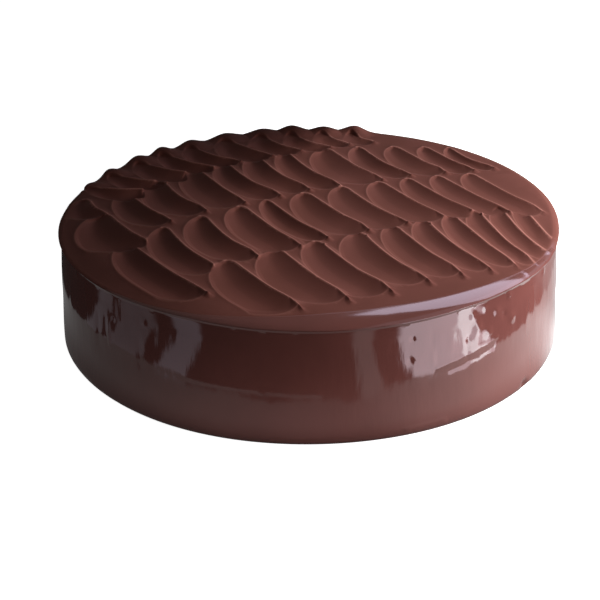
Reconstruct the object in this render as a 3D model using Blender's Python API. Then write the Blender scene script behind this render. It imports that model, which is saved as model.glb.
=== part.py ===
"""A round chocolate cake in one solid, its top finished with rows of strokes from a spatula.

The origin is the middle of the underside, X runs to the right, Y to the back and Z up.
Sizes are in millimetres until the mesh is made, which is in metres. A place on the top is given
by two distances in a frame that is turned with the rows: along them to the right, and across
them to the front. Inside a stroke, the two distances run down the stroke and across it.
"""

import math
import random

import bmesh
import bpy
import numpy as np

METRES = 0.001

# The body of the cake
FOOT_RADIUS = 120.0
BELLY_RADIUS = 118.9
NECK_RADIUS = 117.6
LIP_RADIUS = 118.7
TOP_LEVEL = 55.6
RISE_TO_RIGHT = 0.006
FALL_TO_BACK = 0.020
# Where the top dips towards its rim. Each dip: its direction in degrees from the front to the right,
# its depth, and how far it reaches to each side in degrees and inwards.
DIPS = (
    (68, 2.6, 17, 40),
    (-65, 1.1, 50, 14),
)
FOOT_CHAMFER = 0.8
BELLY_HEIGHT = 28.0
# The rim is rounded off below a shoulder by part of an ellipse, which starts and ends at these
# turns. For directions in degrees round the cake, from the front to the right: its breadth and height.
ROUNDINGS = (
    (-60, 1.6, 0.4),
    (-37, 1.8, 0.5),
    (-24, 3.6, 1.2),
    (-12, 7.0, 2.4),
    (4, 11.0, 3.2),
    (18, 12.0, 3.0),
    (34, 9.6, 2.3),
    (46, 7.2, 1.9),
    (58, 4.4, 1.6),
    (75, 3.0, 1.5),
    (110, 4.0, 2.2),
    (150, 3.0, 1.4),
)
SHOULDER_TURN = math.radians(42)
LIP_TURN = math.radians(82)
NECK_DROP = 0.9
# How far the outline strays from round: waves round the cake, their size and where they start
OUTLINE_WAVES = ((2, 0.5, 0.6), (3, 0.35, 2.1), (5, 0.2, 4.0))

# The frame of the rows
ROW_ANGLE = math.radians(23.5)
ALONG = np.array([math.cos(ROW_ANGLE), math.sin(ROW_ANGLE)])
FRONT = np.array([math.sin(ROW_ANGLE), -math.cos(ROW_ANGLE)])
SEED = 7

# Each row, from the front one to the back one. "starts" are the places along the row where its
# strokes start, and "first" is the first stroke's width. The starts and the tails lie on two
# gentle arcs, given by their distance to the front, their bend and the place of their middle.
# What changes along a row has two values, for its left and its right end: how far a tail lies
# to the right of its start, the gap left between two strokes, a stroke's depth, its crest's
# height, and the breadth of the crest's flank. "ends" says how far before the crest's start the
# arch has its top, how long the ridge past a tail is, and how high the burr and the hump at a
# start are.
ROWS = (
    {
        "starts": (-52, -28, -8, 14, 31, 47, 61, 74, 86, 96),
        "first": 23,
        "start_arc": (37, 0.0004, 20),
        "tail_arc": (91, 0.0, 0),
        "sweep": (8, -6),
        "gap": (2.0, 0),
        "depth": (1.5, 0.8),
        "crest": (1.5, 0.7),
        "flank": (2.2, 1.1),
        "ends": {"lead": 6, "ridge": 6, "burr": 1.0, "hump": 0},
    },
    {
        "starts": (-66, -45, -24, -10, 11, 31, 50, 65, 80, 96),
        "first": 20,
        "start_arc": (-19, 0.0018, 10),
        "tail_arc": (30, 0.0019, 15),
        "sweep": (5, 7),
        "gap": (2.5, 0),
        "depth": (1.7, 1.1),
        "crest": (1.5, 1.0),
        "flank": (2.0, 1.0),
        "ends": {"lead": 6, "ridge": 3, "burr": 0, "hump": 0},
    },
    {
        "starts": (-69, -48, -27, -10, 8, 24, 46, 62, 79, 93, 104),
        "first": 19,
        "start_arc": (-76, 0.0034, 5),
        "tail_arc": (-27, 0.0013, 5),
        "sweep": (5, 5),
        "gap": (2.0, 0),
        "depth": (1.6, 1.4),
        "crest": (1.5, 1.0),
        "flank": (2.0, 1.5),
        "ends": {"lead": 6, "ridge": 3, "burr": 0, "hump": 0},
    },
    {
        "starts": (-82, -67, -49, -34, -17, 3, 23, 39, 54, 68),
        "first": 15,
        "start_arc": (-109, 0.0046, 0),
        "tail_arc": (-80, 0.0026, 20),
        "sweep": (21, 2),
        "gap": (1.0, 0),
        "depth": (2.6, 1.7),
        "crest": (1.4, 0.7),
        "flank": (2.0, 1.8),
        "ends": {"lead": 5, "ridge": 2, "burr": 0, "hump": 2.8},
    },
)
# The broad strokes at the left end of the rows: start, tail, width, depth, crest's height
LEFT_STROKES = (
    ((-87, 2), (-76, 60), 19, 2.0, 1.5),
    ((-86, -37), (-80, 0), 27, 2.4, 1.4),
    ((-89, -60), (-87, -40), 20, 2.0, 1.2),
)
LEFT_FLANK = 1.6
LEFT_ENDS = {"lead": 6, "ridge": 3, "burr": 0, "hump": 0}

# The form of a stroke. Its start is an arch, whose top lies off the crest by a share of the width.
APEX_SHARE = 0.18
HOOK_LENGTH = 6.0
ARCH_LENGTH = 33.0
END_BULGE = 3.0
END_SLANT = (3.0, 10.0)
BOW = (1.2, 3.2)
TIP_TURN = (0.4, 1.4)
TIP_SHARES = (0.60, 0.88)
TAIL_STRAY = 1.3
DEPTH_STRAY = 0.12
EDGE_POINTS = 28
EDGE_CROWDING = 1.7
# The hollow drops inside its left side, more broadly farther down, and slants on to its lowest
# line, which lies at a share of its width. From there it rises in a curve to the crest. It is
# shallow at its start, most of all on the left, and it ends in a slope.
DROP_WIDTHS = (1.6, 2.6)
DROP_LENGTH = 25.0
LEFT_SHARE = 0.82
LOWEST_SHARE = 0.48
RISE_BEND = 1.7
START_DEPTHS = (0.12, 0.60)
START_LENGTH = 26.0
END_SLOPE = 9.0
END_FADE = 9.0
# The frosting that it pushes up to a crest, with a sharp flank outside. At its start and its tail
# the crest keeps only a share of its height. It is full between two shares of its length.
CREST_START = 0.50
CREST_TAIL = 0.95
CREST_FULL = (0.4, 0.6)
# The lips along its left side and its end, by their height and how fast they fall away outwards
LEFT_LIP = (0.28, 1.2)
END_LIP = (0.05, 2.0)
LIP_INSIDE = 0.9
# The flank of the ridge past a tail and how far it turns left, the bead that ends the ridge, and the
# burr at a start
RIDGE_FLANK = 1.1
RIDGE_TURN = 0.12
BEAD_HEIGHT = 0.7
BEAD_WIDTH = 1.6
BURR_WIDTH = 1.5
BURR_STRAY = (0.6, 1.3)
# Between a crest and the next stroke a ribbon stays, as far as a little past the tail
RIBBON = 0.7
RIBBON_END = 8.0
# The back row's starts rise to humps: the middle and the width, as shares of the stroke's width, how
# soon they rise, how far they reach and how uneven they are
HUMP_MIDDLE = 0.08
HUMP_WIDTH = 0.36
HUMP_RISE = 3.0
HUMP_LENGTH = 14.0
HUMP_STRAY = (0.8, 1.2)
# How far round a stroke its relief is worked out
REACH = 14.0
# Near the rim the strokes grow shallow, down to a share, except at the back, where this fades fast
RIM_FADE = 9.0
RIM_SHARE = 0.3
BACK_FADE = 1.5

# The mesh: rings of points over the top, steps of the rounding and the side, and the triangles kept
TOP_RINGS = 96
ROUNDING_STEPS = 6
SIDE_STEPS = 8
KEPT_TRIANGLES = 11400


def between(pair, share):
    return pair[0] + (pair[1] - pair[0]) * share


def smooth(value):
    value = np.clip(value, 0, 1)
    return value * value * (3 - 2 * value)


def wall(distance, width):
    """Rises from 0 at an edge to 1 at this width from it."""
    return 1 - (1 - np.clip(distance / width, 0, 1)) ** 2


def quarter_round(value):
    return np.sqrt(1 - (1 - np.clip(value, 0, 1)) ** 2)


def distance_to_line(across, down, line):
    """Distance from each point to a line of straight pieces."""
    nearest = np.full(across.shape, np.inf)
    for (across_0, down_0), (across_1, down_1) in zip(line[:-1], line[1:]):
        step_across = across_1 - across_0
        step_down = down_1 - down_0
        size = max(step_across**2 + step_down**2, 1e-12)
        share = ((across - across_0) * step_across + (down - down_0) * step_down) / size
        share = np.clip(share, 0, 1)
        off_across = across - across_0 - share * step_across
        off_down = down - down_0 - share * step_down
        nearest = np.minimum(nearest, off_across**2 + off_down**2)
    return np.sqrt(nearest)


class Stroke:
    """One stroke: a scoop with an arched start, a crisp crest on its right and a ridge at its tail."""

    def __init__(self, start, tail, width, depth, crest, flank, ends, left_stroke, draw):
        stray = np.array([draw.uniform(-TAIL_STRAY, TAIL_STRAY), draw.uniform(-TAIL_STRAY, TAIL_STRAY)])
        first = start[0] * ALONG + start[1] * FRONT
        last = (tail[0] + stray[0]) * ALONG + (tail[1] + stray[1]) * FRONT
        self.down = (last - first) / np.linalg.norm(last - first)
        self.right = np.array([-self.down[1], self.down[0]])
        self.lead = ends["lead"]
        self.start = first - self.lead * self.down
        self.length = float(np.linalg.norm(last - self.start))
        self.width = width
        self.depth = depth * draw.uniform(1 - DEPTH_STRAY, 1 + DEPTH_STRAY)
        self.crest_most = crest
        self.flank = flank
        self.bow = draw.uniform(*BOW)
        self.tip_turn = draw.uniform(*TIP_TURN)
        self.slant = draw.uniform(*END_SLANT)
        self.left_stroke = left_stroke
        self.ridge = ends["ridge"]
        self.burr = ends["burr"] * draw.uniform(*BURR_STRAY)
        self.hump = ends["hump"] * draw.uniform(*HUMP_STRAY)

    def crest(self, down):
        share = np.clip(down / self.length, 0, 1)
        rise = smooth((share - TIP_SHARES[0]) / (TIP_SHARES[1] - TIP_SHARES[0]))
        fall = 1 - smooth((share - TIP_SHARES[1]) / (1 - TIP_SHARES[1]))
        return self.tip_turn * rise * fall - self.bow * np.sin(math.pi * share)

    def sides(self, down):
        """The scoop's left and right side, as distances across."""
        apex = self.crest(down) - APEX_SHARE * self.width
        right = apex + APEX_SHARE * self.width * quarter_round(down / HOOK_LENGTH)
        left = apex - (1 - APEX_SHARE) * self.width * quarter_round(down / ARCH_LENGTH)
        if self.left_stroke is not None:
            x = self.start[0] + left * self.right[0] + down * self.down[0]
            y = self.start[1] + left * self.right[1] + down * self.down[1]
            left = np.minimum(left + self.left_stroke.overlap(x, y), right)
        return left, right

    def local(self, x, y):
        """A place's distances across and down this stroke."""
        off_x = x - self.start[0]
        off_y = y - self.start[1]
        return off_x * self.right[0] + off_y * self.right[1], off_x * self.down[0] + off_y * self.down[1]

    def overlap(self, x, y):
        """How far a point has to move right to leave this stroke's crest and the ribbon beside it."""
        across, down = self.local(x, y)
        past = self.crest(down) + RIBBON - across
        beside = smooth(down / HOOK_LENGTH) * (1 - smooth((down - self.length - self.ridge) / RIBBON_END))
        return np.clip(past, 0, None) * beside

    def end(self, share):
        """How far down the scoop ends, from its left side at 0 to its crest at 1."""
        share = np.clip(share, 0, 1)
        return self.length + END_BULGE * np.sin(math.pi * share) - self.slant * (1 - share) ** 2

    def outline(self):
        """The scoop's left side, right side and end as lines of points."""
        step = np.linspace(0, 1, EDGE_POINTS)
        crowded = step**EDGE_CROWDING
        left_down = crowded * self.end(0.0)
        right_down = crowded * self.end(1.0)
        left = np.stack([self.sides(left_down)[0], left_down], axis=1)
        right = np.stack([self.sides(right_down)[1], right_down], axis=1)
        across = left[-1, 0] + (right[-1, 0] - left[-1, 0]) * step
        return left, right, np.stack([across, self.end(step)], axis=1)

    def relief(self, x, y):
        """Which points are near and, for each, the cut, the crest, the lips and how far inside it is."""
        across, down = self.local(x, y)
        near = (across > -self.width - REACH) & (across < REACH) & (down > -REACH)
        near = np.nonzero(near & (down < self.length + REACH))[0]
        across, down = across[near], down[near]
        left, right, end = self.outline()
        to_left = distance_to_line(across, down, left)
        to_right = distance_to_line(across, down, right)
        to_end = distance_to_line(across, down, end)
        side_left, side_right = self.sides(np.clip(down, 0, self.length))
        width = np.maximum(side_right - side_left, 0.01)
        share = np.clip((across - side_left) / width, 0, 1)
        end_down = self.end(share)
        inside = (down > 0) & (across > side_left) & (across < side_right) & (down < end_down)
        at_start = between(START_DEPTHS, smooth(share / LOWEST_SHARE))
        depth = self.depth * between((at_start, 1.0), smooth(down / START_LENGTH)) * self.grown(down)
        drop = between(DROP_WIDTHS, smooth(down / DROP_LENGTH))
        depth = depth * smooth(to_left / drop) * wall(end_down - down, END_SLOPE)
        rise = np.clip((share - LOWEST_SHARE) / (1 - LOWEST_SHARE), 0, 1) ** RISE_BEND
        slant = LEFT_SHARE * np.clip(1 - share / LOWEST_SHARE, 0, 1) ** 2
        crest = self.crest_height(down)
        inner = np.minimum(np.minimum(to_left, to_right), to_end)
        outer = np.exp(-to_right / self.flank)
        inner_pile = np.maximum(rise * smooth((end_down - down) / END_FADE), outer)
        piled = crest * np.where(inside, inner_pile, outer)
        lips = self.lips(across, down, to_left, to_end)
        cut = np.where(inside, depth * (1 - rise) * (1 - slant), 0)
        return near, cut, piled, lips, np.where(inside, inner, -inner)

    def crest_height(self, down):
        share = down / self.length
        growth = between((CREST_START, 1.0), smooth(share / CREST_FULL[0])) * self.grown(down)
        waning = smooth((share - CREST_FULL[1]) / (1 - CREST_FULL[1]))
        return self.crest_most * growth * between((1.0, CREST_TAIL), waning)

    def lips(self, across, down, to_left, to_end):
        """The low lips round the stroke, the hump and the burr at its start, and the ridge past its tail."""
        left = LEFT_LIP[0] * np.exp(-to_left / LEFT_LIP[1]) * self.grown(down)
        end = END_LIP[0] * np.exp(-to_end / END_LIP[1])
        foot = self.crest(self.length)
        tip = (foot - RIDGE_TURN * self.ridge, self.length + self.ridge)
        to_ridge = distance_to_line(across, down, ((foot, self.length), tip))
        fading = 1 - smooth(2 * (down - self.length) / self.ridge - 1)
        ridge = self.crest_most * CREST_TAIL * fading * np.exp(-to_ridge / min(self.flank, RIDGE_FLANK))
        bead_off = (across - tip[0]) ** 2 + (down - tip[1]) ** 2
        bead = BEAD_HEIGHT * np.exp(-bead_off / BEAD_WIDTH**2)
        burr_off = (across - self.crest(self.lead)) ** 2 + (down - self.lead) ** 2
        burr = self.burr * np.exp(-burr_off / BURR_WIDTH**2)
        return np.maximum.reduce([left, end, ridge]) + bead + burr + self.humped(across, down)

    def grown(self, down):
        """How much a scoop has grown out of the hump at its start."""
        return smooth(down / HUMP_LENGTH) if self.hump > 0 else 1.0

    def humped(self, across, down):
        over = np.exp(-(((across / self.width - HUMP_MIDDLE) / HUMP_WIDTH) ** 2))
        along = smooth((down + REACH) / HUMP_RISE) * (1 - smooth(down / HUMP_LENGTH))
        return self.hump * over * along


def arc_front(arc, along):
    level, bend, middle = arc
    return level + bend * (along - middle) ** 2


def row_strokes(row, draw):
    strokes = []
    left_stroke = None
    before = row["starts"][0] - row["first"]
    for number, along in enumerate(row["starts"]):
        share = number / (len(row["starts"]) - 1)
        pitch = along - before
        tail_along = along + between(row["sweep"], share)
        start = (along, arc_front(row["start_arc"], along))
        tail = (tail_along, arc_front(row["tail_arc"], tail_along))
        width = pitch - between(row["gap"], share)
        depth = between(row["depth"], share)
        crest = between(row["crest"], share)
        flank = between(row["flank"], share)
        left_stroke = Stroke(start, tail, width, depth, crest, flank, row["ends"], left_stroke, draw)
        strokes.append(left_stroke)
        before = along
    return strokes


def all_strokes():
    draw = random.Random(SEED)
    strokes = []
    for row in ROWS:
        strokes += row_strokes(row, draw)
    for start, tail, width, depth, crest in LEFT_STROKES:
        strokes.append(Stroke(start, tail, width, depth, crest, LEFT_FLANK, LEFT_ENDS, None, draw))
    return strokes


def from_front(angle):
    """Angles from the X axis as degrees from the front to the right, from -180 to 180."""
    degrees = np.degrees(angle) + 90
    return np.where(degrees > 180, degrees - 360, degrees)


def outline_stray(angle):
    return sum(size * np.cos(count * angle + start) for count, size, start in OUTLINE_WAVES)


def rounding(angle):
    """The breadth and the height of the rim's rounding in these directions."""
    directions, breadths, heights = zip(*ROUNDINGS)
    breadth = np.interp(from_front(angle), directions, breadths, period=360)
    return breadth, np.interp(from_front(angle), directions, heights, period=360)


def shoulder_radius(angle):
    """Where the top ends and its rim turns down."""
    return LIP_RADIUS + outline_stray(angle) - rounding(angle)[0]


def rim_fade(x, y):
    """How much of the relief is left, as it fades towards the rim at the front and the sides."""
    angle = np.arctan2(y, x)
    kept = between((RIM_SHARE, 1.0), smooth(BACK_FADE * np.sin(angle)))
    return between((kept, 1.0), smooth((shoulder_radius(angle) - np.hypot(x, y)) / RIM_FADE))


def insides(reliefs, size):
    """How far inside the strokes each point is: the most, in which stroke, and the most but for that one."""
    most = np.full(size, -np.inf)
    owner = np.full(size, -1)
    second = np.full(size, -np.inf)
    for number, (near, _, _, _, inner) in enumerate(reliefs):
        first = inner > most[near]
        second[near] = np.where(first, most[near], np.maximum(second[near], inner))
        most[near] = np.where(first, inner, most[near])
        owner[near] = np.where(first, number, owner[near])
    return most, owner, second


def stroke_relief(x, y):
    """Height of the strokes over the smoothed top, for arrays of points."""
    reliefs = [stroke.relief(x, y) for stroke in all_strokes()]
    most, owner, second = insides(reliefs, x.size)
    cut = np.zeros(x.shape)
    piled = np.zeros(x.shape)
    for number, (near, stroke_cut, crest, lips, _) in enumerate(reliefs):
        others = np.where(owner[near] == number, second[near], most[near])
        crest = crest * (1 - smooth(others / LIP_INSIDE))
        lips = lips * (1 - smooth(most[near] / LIP_INSIDE))
        cut[near] = np.maximum(cut[near], stroke_cut)
        piled[near] = np.maximum.reduce([piled[near], crest, lips])
    return rim_fade(x, y) * (piled - cut)


def dip(x, y):
    """How far the top dips towards its rim."""
    direction = from_front(np.arctan2(y, x))
    inwards = LIP_RADIUS - np.hypot(x, y)
    deep = np.zeros(x.shape)
    for middle, depth, spread, reach in DIPS:
        deep += depth * np.exp(-(((direction - middle) / spread) ** 2)) * smooth(1 - inwards / reach)
    return deep


def top_height(x, y):
    level = TOP_LEVEL + RISE_TO_RIGHT * x - FALL_TO_BACK * y - dip(x, y)
    return level + stroke_relief(x, y)


def top_points():
    """The middle of the top and rings round it, the ring of number n with 6 n points."""
    angles = [np.zeros(1)]
    shares = [np.zeros(1)]
    for ring in range(1, TOP_RINGS + 1):
        count = 6 * ring
        angles.append(np.arange(count) * 2 * math.pi / count)
        shares.append(np.full(count, ring / TOP_RINGS))
    angle = np.concatenate(angles)
    radius = np.concatenate(shares) * shoulder_radius(angle)
    x = radius * np.cos(angle)
    y = radius * np.sin(angle)
    return np.stack([x, y, top_height(x, y)], axis=1)


def side_rings(rim_height, angle):
    """Rings of points from the shoulder, over the rim and the neck and down to the foot."""
    stray = outline_stray(angle)
    breadth, height = rounding(angle)
    rings = []
    whole_way = math.sin(LIP_TURN) - math.sin(SHOULDER_TURN)
    whole_drop = math.cos(SHOULDER_TURN) - math.cos(LIP_TURN)
    for step in range(1, ROUNDING_STEPS + 1):
        turn = between((SHOULDER_TURN, LIP_TURN), step / ROUNDING_STEPS)
        inwards = breadth * (math.sin(LIP_TURN) - math.sin(turn)) / whole_way
        lowered = height * (math.cos(SHOULDER_TURN) - math.cos(turn)) / whole_drop
        rings.append((LIP_RADIUS - inwards, rim_height - lowered))
    neck_height = rings[-1][1] - NECK_DROP
    rings.append((NECK_RADIUS, neck_height))
    for step in range(1, SIDE_STEPS + 1):
        height = between((neck_height, FOOT_CHAMFER), step / SIDE_STEPS)
        upper = smooth((height - BELLY_HEIGHT) / (neck_height - BELLY_HEIGHT))
        lower = smooth((BELLY_HEIGHT - height) / BELLY_HEIGHT)
        radius = BELLY_RADIUS + (NECK_RADIUS - BELLY_RADIUS) * upper + (FOOT_RADIUS - BELLY_RADIUS) * lower
        rings.append((radius, height))
    rings.append((FOOT_RADIUS - FOOT_CHAMFER, np.zeros(angle.shape)))
    points = []
    for radius, height in rings:
        x = (radius + stray) * np.cos(angle)
        y = (radius + stray) * np.sin(angle)
        points.append(np.stack([x, y, height], axis=1))
    return points


def add_top_faces(mesh, rings):
    """Triangles between each ring and the next, which has six points more."""
    for inner, outer in zip(rings[:-1], rings[1:]):
        sextant = len(outer) // 6
        for side in range(6):
            for step in range(sextant):
                low = side * sextant + step
                near = side * (sextant - 1) + step
                here = inner[near % len(inner)]
                mesh.faces.new((here, outer[low], outer[(low + 1) % len(outer)]))
                if step < sextant - 1:
                    mesh.faces.new((here, outer[(low + 1) % len(outer)], inner[(near + 1) % len(inner)]))


def add_side_faces(mesh, rings):
    for upper, lower in zip(rings[:-1], rings[1:]):
        count = len(upper)
        for here in range(count):
            beyond = (here + 1) % count
            mesh.faces.new((upper[here], lower[here], lower[beyond], upper[beyond]))


def cake_mesh():
    top = top_points()
    rim = top[-6 * TOP_RINGS :]
    angle = np.arctan2(rim[:, 1], rim[:, 0])
    mesh = bmesh.new()
    vertices = [mesh.verts.new(point * METRES) for point in top]
    top_rings = [vertices[:1]]
    for ring in range(1, TOP_RINGS + 1):
        first = 1 + 3 * ring * (ring - 1)
        top_rings.append(vertices[first : first + 6 * ring])
    side = [[mesh.verts.new(point * METRES) for point in ring] for ring in side_rings(rim[:, 2], angle)]
    add_top_faces(mesh, top_rings)
    add_side_faces(mesh, [top_rings[-1]] + side)
    mesh.faces.new(side[-1][::-1])
    data = bpy.data.meshes.new("chocolate_cake")
    mesh.to_mesh(data)
    mesh.free()
    data.shade_smooth()
    return data


def ganache():
    """Dark, slightly red chocolate with a soft gloss."""
    material = bpy.data.materials.new("ganache")
    material.use_nodes = True
    shader = material.node_tree.nodes["Principled BSDF"]
    shader.inputs["Base Color"].default_value = (0.075, 0.024, 0.017, 1.0)
    shader.inputs["Roughness"].default_value = 0.4
    shader.inputs["Metallic"].default_value = 0.0
    return material


def chocolate_cake():
    """The whole cake. The thinning keeps its crests and spends few faces where it is smooth."""
    cake = bpy.data.objects.new("chocolate_cake", cake_mesh())
    bpy.context.scene.collection.objects.link(cake)
    cake.data.materials.append(ganache())
    cake.data.calc_loop_triangles()
    thin = cake.modifiers.new("thin", "DECIMATE")
    thin.ratio = KEPT_TRIANGLES / len(cake.data.loop_triangles)
    return cake


def main():
    for item in list(bpy.data.objects):
        bpy.data.objects.remove(item)
    chocolate_cake()


main()
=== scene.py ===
"""The looks of a round chocolate cake: its ganache, worked with a spatula in rows over the top.

The cake is one closed mesh, finer than the solid that it replaces and of the same form. The origin
is the middle of the underside, X runs to the right, Y to the back and Z up. Sizes are in
millimetres until the mesh is made, which is in metres.
"""

import math
import random

import bpy
import numpy as np
from mathutils import Matrix, Vector


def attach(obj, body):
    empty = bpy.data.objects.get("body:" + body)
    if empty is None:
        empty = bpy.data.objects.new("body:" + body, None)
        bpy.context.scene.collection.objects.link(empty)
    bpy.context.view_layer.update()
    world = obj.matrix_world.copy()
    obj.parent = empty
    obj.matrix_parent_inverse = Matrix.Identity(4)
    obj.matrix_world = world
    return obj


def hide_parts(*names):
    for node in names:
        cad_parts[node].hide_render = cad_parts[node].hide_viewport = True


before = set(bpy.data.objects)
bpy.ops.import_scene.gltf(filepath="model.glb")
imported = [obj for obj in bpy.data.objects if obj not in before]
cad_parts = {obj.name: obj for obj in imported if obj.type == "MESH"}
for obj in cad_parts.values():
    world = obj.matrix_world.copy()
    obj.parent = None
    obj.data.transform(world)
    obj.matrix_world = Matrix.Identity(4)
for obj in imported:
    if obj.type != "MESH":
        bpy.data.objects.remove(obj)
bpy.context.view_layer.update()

METRES = 0.001
BLACK = (0.0, 0.0, 0.0, 1.0)

# The piece is this share of its named size in x, y and z, so that it stays inside the solid, whose
# facets cut the highest crests
SHARE_OF_SIZE = (0.999, 0.999, 0.9975)

# The body of the cake
FOOT_RADIUS = 120.0
BELLY_RADIUS = 118.9
NECK_RADIUS = 117.6
LIP_RADIUS = 118.7
TOP_LEVEL = 55.6
RISE_TO_RIGHT = 0.006
FALL_TO_BACK = 0.020
# Where the top dips towards its rim. Each dip: its direction in degrees from the front to the right,
# its depth, and how far it reaches to each side in degrees and inwards.
DIPS = (
    (68, 2.6, 17, 40),
    (-65, 1.1, 50, 14),
)
FOOT_CHAMFER = 0.8
BELLY_HEIGHT = 28.0
# The rim is rounded off below a shoulder by part of an ellipse, which starts and ends at these
# turns. For directions in degrees round the cake, from the front to the right: its breadth and height.
ROUNDINGS = (
    (-60, 1.6, 0.4),
    (-37, 1.8, 0.5),
    (-24, 3.6, 1.2),
    (-12, 7.0, 2.4),
    (4, 11.0, 3.2),
    (18, 12.0, 3.0),
    (34, 9.6, 2.3),
    (46, 7.2, 1.9),
    (58, 4.4, 1.6),
    (75, 3.0, 1.5),
    (110, 4.0, 2.2),
    (150, 3.0, 1.4),
)
SHOULDER_TURN = math.radians(42)
LIP_TURN = math.radians(82)
NECK_DROP = 0.9
# How far the outline strays from round: waves round the cake, their size and where they start
OUTLINE_WAVES = ((2, 0.5, 0.6), (3, 0.35, 2.1), (5, 0.2, 4.0))

# The frame of the rows
ROW_ANGLE = math.radians(23.5)
ALONG = np.array([math.cos(ROW_ANGLE), math.sin(ROW_ANGLE)])
FRONT = np.array([math.sin(ROW_ANGLE), -math.cos(ROW_ANGLE)])
SEED = 7

# Each row, from the front one to the back one. "starts" are the places along the row where its
# strokes start, and "first" is the first stroke's width. The starts and the tails lie on two
# gentle arcs, given by their distance to the front, their bend and the place of their middle.
# What changes along a row has two values, for its left and its right end: how far a tail lies
# to the right of its start, the gap left between two strokes, a stroke's depth, its crest's
# height, and the breadth of the crest's flank. "ends" says how far before the crest's start the
# arch has its top, how long the ridge past a tail is, and how high the burr and the hump at a
# start are.
ROWS = (
    {
        "starts": (-52, -28, -8, 14, 31, 47, 61, 74, 86, 96),
        "first": 23,
        "start_arc": (37, 0.0004, 20),
        "tail_arc": (91, 0.0, 0),
        "sweep": (8, -6),
        "gap": (2.0, 0),
        "depth": (1.5, 0.8),
        "crest": (1.5, 0.7),
        "flank": (2.2, 1.1),
        "ends": {"lead": 6, "ridge": 6, "burr": 1.0, "hump": 0},
    },
    {
        "starts": (-66, -45, -24, -10, 11, 31, 50, 65, 80, 96),
        "first": 20,
        "start_arc": (-19, 0.0018, 10),
        "tail_arc": (30, 0.0019, 15),
        "sweep": (5, 7),
        "gap": (2.5, 0),
        "depth": (1.7, 1.1),
        "crest": (1.5, 1.0),
        "flank": (2.0, 1.0),
        "ends": {"lead": 6, "ridge": 3, "burr": 0, "hump": 0},
    },
    {
        "starts": (-69, -48, -27, -10, 8, 24, 46, 62, 79, 93, 104),
        "first": 19,
        "start_arc": (-76, 0.0034, 5),
        "tail_arc": (-27, 0.0013, 5),
        "sweep": (5, 5),
        "gap": (2.0, 0),
        "depth": (1.6, 1.4),
        "crest": (1.5, 1.0),
        "flank": (2.0, 1.5),
        "ends": {"lead": 6, "ridge": 3, "burr": 0, "hump": 0},
    },
    {
        "starts": (-82, -67, -49, -34, -17, 3, 23, 39, 54, 68),
        "first": 15,
        "start_arc": (-109, 0.0046, 0),
        "tail_arc": (-80, 0.0026, 20),
        "sweep": (21, 2),
        "gap": (1.0, 0),
        "depth": (2.6, 1.7),
        "crest": (1.4, 0.7),
        "flank": (2.0, 1.8),
        "ends": {"lead": 5, "ridge": 2, "burr": 0, "hump": 2.8},
    },
)
# The broad strokes at the left end of the rows: start, tail, width, depth, crest's height
LEFT_STROKES = (
    ((-87, 2), (-76, 60), 19, 2.0, 1.5),
    ((-86, -37), (-80, 0), 27, 2.4, 1.4),
    ((-89, -60), (-87, -40), 20, 2.0, 1.2),
)
LEFT_FLANK = 1.6
LEFT_ENDS = {"lead": 6, "ridge": 3, "burr": 0, "hump": 0}

# The form of a stroke. Its start is an arch, whose top lies off the crest by a share of the width.
APEX_SHARE = 0.18
HOOK_LENGTH = 6.0
ARCH_LENGTH = 33.0
END_BULGE = 3.0
END_SLANT = (3.0, 10.0)
BOW = (1.2, 3.2)
TIP_TURN = (0.4, 1.4)
TIP_SHARES = (0.60, 0.88)
TAIL_STRAY = 1.3
DEPTH_STRAY = 0.12
EDGE_POINTS = 28
EDGE_CROWDING = 1.7
# The hollow drops inside its left side, more broadly farther down, and slants on to its lowest
# line, which lies at a share of its width. From there it rises in a curve to the crest. It is
# shallow at its start, most of all on the left, and it ends in a slope.
DROP_WIDTHS = (1.6, 2.6)
DROP_LENGTH = 25.0
LEFT_SHARE = 0.82
LOWEST_SHARE = 0.48
RISE_BEND = 1.7
START_DEPTHS = (0.12, 0.60)
START_LENGTH = 26.0
END_SLOPE = 9.0
END_FADE = 9.0
# The frosting that it pushes up to a crest, with a sharp flank outside. At its start and its tail
# the crest keeps only a share of its height. It is full between two shares of its length.
CREST_START = 0.50
CREST_TAIL = 0.95
CREST_FULL = (0.4, 0.6)
# The lips along its left side and its end, by their height and how fast they fall away outwards
LEFT_LIP = (0.28, 1.2)
END_LIP = (0.05, 2.0)
LIP_INSIDE = 0.9
# The flank of the ridge past a tail and how far it turns left, the bead that ends the ridge, and the
# burr at a start
RIDGE_FLANK = 1.1
RIDGE_TURN = 0.12
BEAD_HEIGHT = 0.7
BEAD_WIDTH = 1.6
BURR_WIDTH = 1.5
BURR_STRAY = (0.6, 1.3)
# Between a crest and the next stroke a ribbon stays, as far as a little past the tail
RIBBON = 0.7
RIBBON_END = 8.0
# The back row's starts rise to humps: the middle and the width, as shares of the stroke's width, how
# soon they rise, how far they reach and how uneven they are
HUMP_MIDDLE = 0.08
HUMP_WIDTH = 0.36
HUMP_RISE = 3.0
HUMP_LENGTH = 14.0
HUMP_STRAY = (0.8, 1.2)
# How far round a stroke its relief is worked out, and the least width that it reckons with
REACH = 14.0
LEAST_WIDTH = 0.01
# Near the rim the strokes grow shallow, down to a share, except at the back, where this fades fast
RIM_FADE = 9.0
RIM_SHARE = 0.3
BACK_FADE = 1.5

# The side's slight unevenness: how many waves, the size of the longest, the most of them round the
# cake and up its height, and how fast they grow smaller with their number round it and up it
SIDE_SEED = 11
SIDE_WAVES = 36
SIDE_WAVE_SIZE = 0.05
WAVES_ROUND = 26
WAVES_UP = 3.0
SMALLER_ROUND = 0.35
SMALLER_UP = 0.8

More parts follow.
